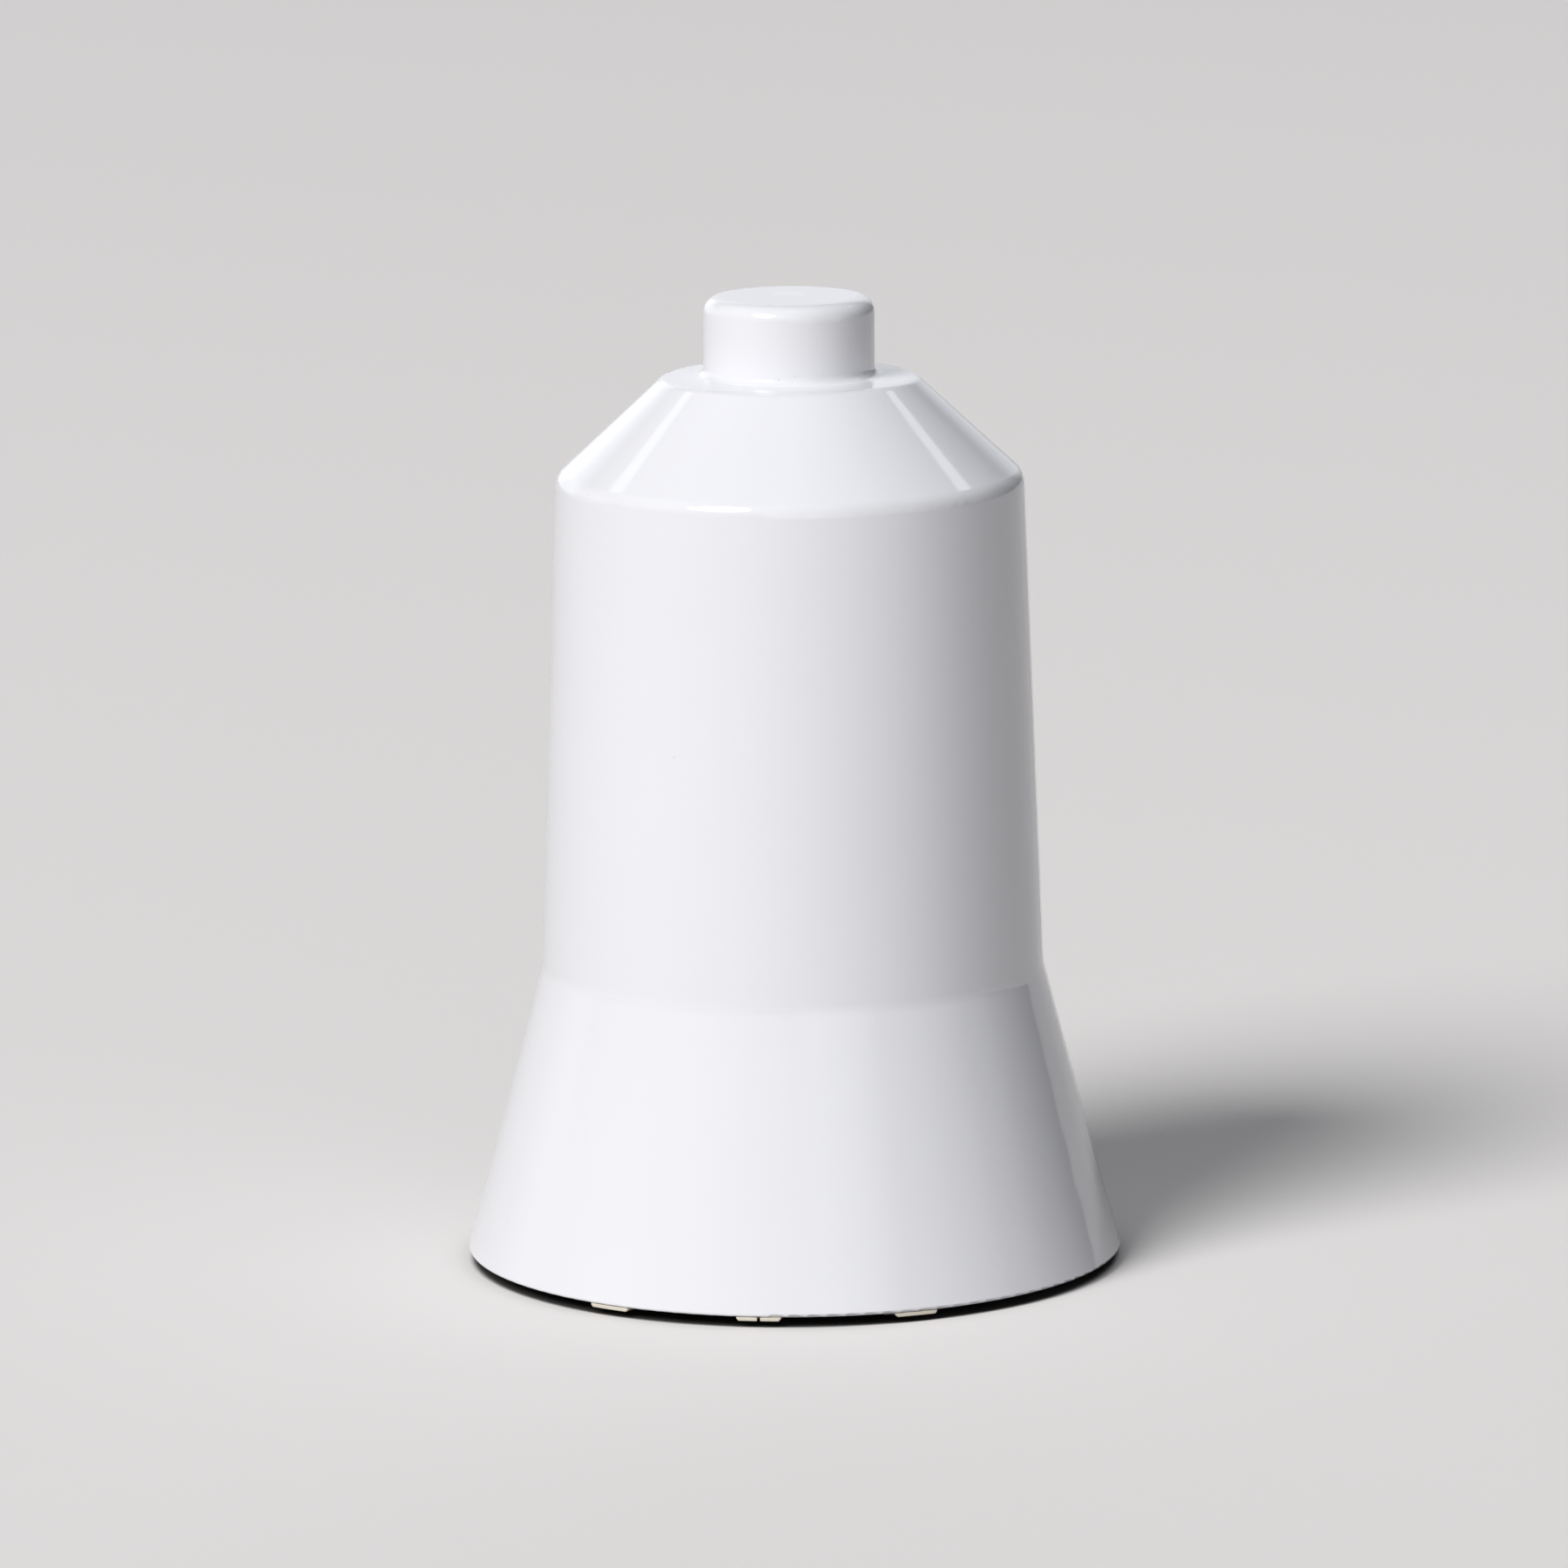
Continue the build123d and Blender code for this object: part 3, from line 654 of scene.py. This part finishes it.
class INSULATOR_OT_spindle(bpy.types.Operator):
    """Make the threaded spindle and thimble, and finish the nut, washers, guide and pin"""

    bl_idname = "insulator.spindle"
    bl_label = "Spindle"

    def execute(self, context):
        colours = context.scene.insulator_colours
        sizes = context.scene.insulator_sizes
        zinc = finish(steel_zinc_plated, colours.zinc)
        acetal = finish(acetal_turned, colours.guide)
        for name in ("hub_washer", "spring_washer", "spindle_nut"):
            dress(name, zinc)
        dress("guide_sleeve", acetal)
        dress("thimble_pin", finish(stainless_drawn, colours.stainless))
        self.make_spindle(sizes, zinc)
        self.make_thimble(sizes, acetal)
        return {"FINISHED"}

    def make_spindle(self, sizes, zinc):
        """A hexagon head with a chamfered face, and a shank with a thread up to its tip."""
        shank = 5.0 * MM
        head_top = washer_foot - 4.8 * MM
        corner = hex_apothem / cos(pi / 6)
        face = hex_apothem - 0.25 * MM
        rings = [
            (head_bottom, face),
            (head_bottom + sizes.head_chamfer * 0.5, hexagon(hex_apothem, (face + corner) / 2)),
            (head_bottom + sizes.head_chamfer, hexagon(hex_apothem, corner)),
            (head_top, hexagon(hex_apothem, corner)),
            (head_top, shank),
            (washer_foot - 1 * MM, shank),
        ]
        thread_end = spindle_tip - sizes.tip_chamfer
        rings += thread_rings(
            shank, sizes.spindle_thread, sizes.spindle_pitch, washer_foot, thread_end, sizes.spindle_pitch
        )
        rings.append((spindle_tip, shank - sizes.tip_chamfer))
        piece = stack("spindle_threaded", rings, 72)
        drilled(piece, pin_radius, pin_level, shank * 1.4)
        fit(piece, "base", "zinc", zinc, "spindle")

    def make_thimble(self, sizes, acetal):
        """A thimble with a coarse rounded thread outside and a blind bore for the spindle."""
        radius = outer_radius("thread_thimble")
        bore = 5.05 * MM
        rings = [(spindle_tip, bore), (thimble_foot, bore), (thimble_foot, radius)]
        rings.append((thimble_foot + 0.8 * MM, radius))
        rings += thread_rings(
            radius, sizes.thimble_thread, sizes.thimble_pitch, thimble_foot + 1 * MM, thimble_top - 1 * MM,
            sizes.thimble_pitch / 2,
        )
        rings.append((thimble_top, radius - 1 * MM - sizes.thimble_thread))
        piece = stack("thread_thimble_cut", rings, 96)
        drilled(piece, pin_radius, pin_level, radius * 1.4)
        fit(piece, "base", "guide", acetal, "thread_thimble")


# ---------------------------------------------------------------- stage


def polar(azimuth, elevation, distance, centre=(0, 0, 0)):
    """A point at a distance from centre, in a direction from -Y towards +X and up."""
    level = distance * cos(elevation)
    offset = Vector((sin(azimuth) * level, -cos(azimuth) * level, sin(elevation) * distance))
    return Vector(centre) + offset


def add_lamp(name, kind, place, target, **settings):
    """A lamp at a place, turned to face a target."""
    data = bpy.data.lights.new(name, kind)
    for setting, value in settings.items():
        setattr(data, setting, value)
    lamp = bpy.data.objects.new(name, data)
    bpy.context.scene.collection.objects.link(lamp)
    facing = (place - Vector(target)).to_track_quat("Z", "Y").to_matrix().to_4x4()
    lamp.matrix_world = Matrix.Translation(place) @ facing
    return lamp


# soft patches of light round the room: azimuth from the camera, elevation, inner and outer angle, strength
ROOM_LIGHT = (
    (-150, 8, 8, 22, 1.1),
    (-120, 8, 8, 22, 0.6),
    (20, 8, 8, 22, 0.7),
    (62, 6, 10, 24, 0.3),
    (90, 0, 5, 13, 0.3),
    (0, 45, 12, 33, 0.5),
    (50, 76, 8, 22, 0.5),
    (120, 45, 12, 33, 0.28),
    (180, 15, 14, 28, 0.9),
    (155, 15, 10, 22, 0.2),
    (-131.5, 40, 2.5, 3.5, 1.3),
    (131.5, 40, 2.5, 3.5, 2.0),
)


class INSULATOR_OT_stage(bpy.types.Operator):
    """Make the floor, the lamps, the world and the camera"""

    bl_idname = "insulator.stage"
    bl_label = "Stage"

    def execute(self, context):
        scene = context.scene
        stage = scene.insulator_stage
        scene.view_settings.view_transform = "Standard"
        self.make_camera(scene, stage)
        self.make_floor(context, stage)
        self.make_lamps(scene, stage)
        return {"FINISHED"}

    def make_camera(self, scene, stage):
        """The camera stands level with the shoulder and looks a little down."""
        turn = Matrix.Rotation(stage.view_azimuth, 4, "Z")
        tilt = Matrix.Rotation(pi / 2 - stage.view_pitch, 4, "X")
        lean = Matrix.Rotation(stage.view_roll, 4, "Z")
        data = bpy.data.cameras.new("camera")
        data.sensor_width = 36
        data.lens = stage.lens
        data.clip_end = 20
        camera = bpy.data.objects.new("camera", data)
        scene.collection.objects.link(camera)
        place = turn @ Vector((stage.view_shift, -stage.view_distance, stage.view_height))
        camera.matrix_world = Matrix.Translation(place) @ turn @ tilt @ lean
        scene.camera = camera

    def make_floor(self, context, stage):
        """A wide sheet of matt paper, with shade painted into its colour in the crack under the rim.

        For light that bounces off it, its colour is painted dark on its far side, a painted shade, so that it
        throws light back on the insulator mostly from its near left half.
        """
        bpy.ops.mesh.primitive_plane_add(size=12)
        floor = context.object
        floor.name = "floor"
        material, tree, shader = new_material("paper_with_painted_shade")
        place = add_node(tree, "ShaderNodeTexCoord").outputs["Object"]
        # painted shade: for light that bounces off it, the paper's colour falls to the far-side share away from
        # the bright side; camera, glossy and transmission rays see the full colour
        aim = add_node(tree, "ShaderNodeVectorMath", {0: place}, operation="NORMALIZE")
        lit = add_node(tree, "ShaderNodeVectorMath", {0: aim.outputs[0]}, operation="DOT_PRODUCT")
        lit.inputs[1].default_value = polar(stage.view_azimuth + stage.bounce_azimuth, 0, 1)
        painted_bounce_shade = add_node(
            tree, "ShaderNodeMapRange", {"Value": lit.outputs["Value"]}, interpolation_type="SMOOTHSTEP",
            From_Min=-0.7, From_Max=-0.35, To_Min=stage.bounce_dark, To_Max=stage.bounce_light,
        )
        path = add_node(tree, "ShaderNodeLightPath")
        share = painted_bounce_shade.outputs["Result"]
        for ray in ("Is Camera Ray", "Is Glossy Ray", "Is Transmission Ray"):
            widest = add_node(tree, "ShaderNodeMath", {0: share, 1: path.outputs[ray]}, operation="MAXIMUM")
            share = widest.outputs[0]
        # painted shade: the paper's colour is darkened where pieces stand close over it, as in the crack under
        # the rim
        near = add_node(tree, "ShaderNodeAmbientOcclusion", Distance=stage.contact_reach)
        painted_contact_shade = add_node(
            tree, "ShaderNodeMapRange", {"Value": near.outputs["AO"]}, From_Min=0.3, From_Max=0.48, To_Min=0.06,
        )
        share = add_node(
            tree, "ShaderNodeMath", {0: share, 1: painted_contact_shade.outputs["Result"]}, operation="MULTIPLY"
        ).outputs[0]
        paper = add_node(
            tree, "ShaderNodeMix", {"Factor": share}, data_type="RGBA", A=(0, 0, 0, 1), B=[*stage.floor, 1]
        )
        tree.links.new(paper.outputs["Result"], shader.inputs["Base Color"])
        shader.inputs["Roughness"].default_value = 0.9
        shader.inputs["Specular IOR Level"].default_value = 0.0
        floor.data.materials.append(material)

    def make_lamps(self, scene, stage):
        """A broad key from the left, and a dim room with soft patches of light."""
        centre = (0, 0, 0.05)
        place = polar(stage.view_azimuth + stage.key_azimuth, stage.key_elevation, stage.key_distance, centre)
        width = 2 * stage.key_distance * tan(stage.key_spread / 2)
        add_lamp("key", "AREA", place, centre, shape="DISK", size=width, energy=stage.key_power)
        world = bpy.data.worlds.new("studio")
        scene.world = world
        world.use_nodes = True
        tree = world.node_tree
        direction = add_node(tree, "ShaderNodeTexCoord").outputs["Generated"]
        total = None
        for azimuth, elevation, inner, outer, strength in ROOM_LIGHT:
            cosine = add_node(tree, "ShaderNodeVectorMath", {0: direction}, operation="DOT_PRODUCT")
            cosine.inputs[1].default_value = polar(stage.view_azimuth + radians(azimuth), radians(elevation), 1)
            patch = add_node(
                tree, "ShaderNodeMapRange", {"Value": cosine.outputs["Value"]}, interpolation_type="SMOOTHSTEP",
                From_Min=cos(radians(outer)), From_Max=cos(radians(inner)), To_Max=strength,
            )
            if total is None:
                total = patch.outputs["Result"]
            else:
                total = add_node(
                    tree, "ShaderNodeMath", {0: total, 1: patch.outputs["Result"]}, operation="ADD"
                ).outputs[0]
        back = tree.nodes["Background"]
        back.inputs["Color"].default_value = (0.955, 0.98, 1.03, 1)
        lift = add_node(tree, "ShaderNodeMath", {0: total}, operation="ADD")
        lift.inputs[1].default_value = stage.room_level
        tree.links.new(lift.outputs[0], back.inputs["Strength"])
        pale = add_node(tree, "ShaderNodeBackground", Color=[*stage.backdrop, 1], Strength=1.0)
        path = add_node(tree, "ShaderNodeLightPath")
        seen = path.outputs["Is Camera Ray"]
        mixed = add_node(tree, "ShaderNodeMixShader", {0: seen, 1: back.outputs[0], 2: pale.outputs[0]})
        tree.links.new(mixed.outputs[0], tree.nodes["World Output"].inputs["Surface"])


# ---------------------------------------------------------------- panel and start


class INSULATOR_PT_panel(bpy.types.Panel):
    """Lists the insulator's pieces"""

    bl_label = "Bell Insulator"
    bl_idname = "INSULATOR_PT_panel"
    bl_space_type = "VIEW_3D"
    bl_region_type = "UI"
    bl_category = "Insulator"

    def draw(self, context):
        layout = self.layout
        for group in ("insulator_colours", "insulator_sizes", "insulator_stage"):
            settings = getattr(context.scene, group)
            box = layout.box()
            for name in settings.bl_rna.properties.keys():
                if name not in ("rna_type", "name"):
                    box.prop(settings, name)
        for operator in operators:
            layout.operator(operator.bl_idname)


operators = (INSULATOR_OT_bell, INSULATOR_OT_core, INSULATOR_OT_base, INSULATOR_OT_spindle, INSULATOR_OT_stage)
groups = {
    "insulator_colours": FinishColours,
    "insulator_sizes": FastenerSizes,
    "insulator_stage": StageSettings,
}


def register():
    for cls in (*groups.values(), *operators, INSULATOR_PT_panel):
        bpy.utils.register_class(cls)
    for name, cls in groups.items():
        setattr(bpy.types.Scene, name, bpy.props.PointerProperty(type=cls))


def unregister():
    for name in groups:
        delattr(bpy.types.Scene, name)
    for cls in (INSULATOR_PT_panel, *reversed(operators), *reversed(groups.values())):
        bpy.utils.unregister_class(cls)


def main():
    register()
    bpy.ops.insulator.bell()
    bpy.ops.insulator.core()
    bpy.ops.insulator.base()
    bpy.ops.insulator.spindle()
    bpy.ops.insulator.stage()


if __name__ == "__main__":
    main()
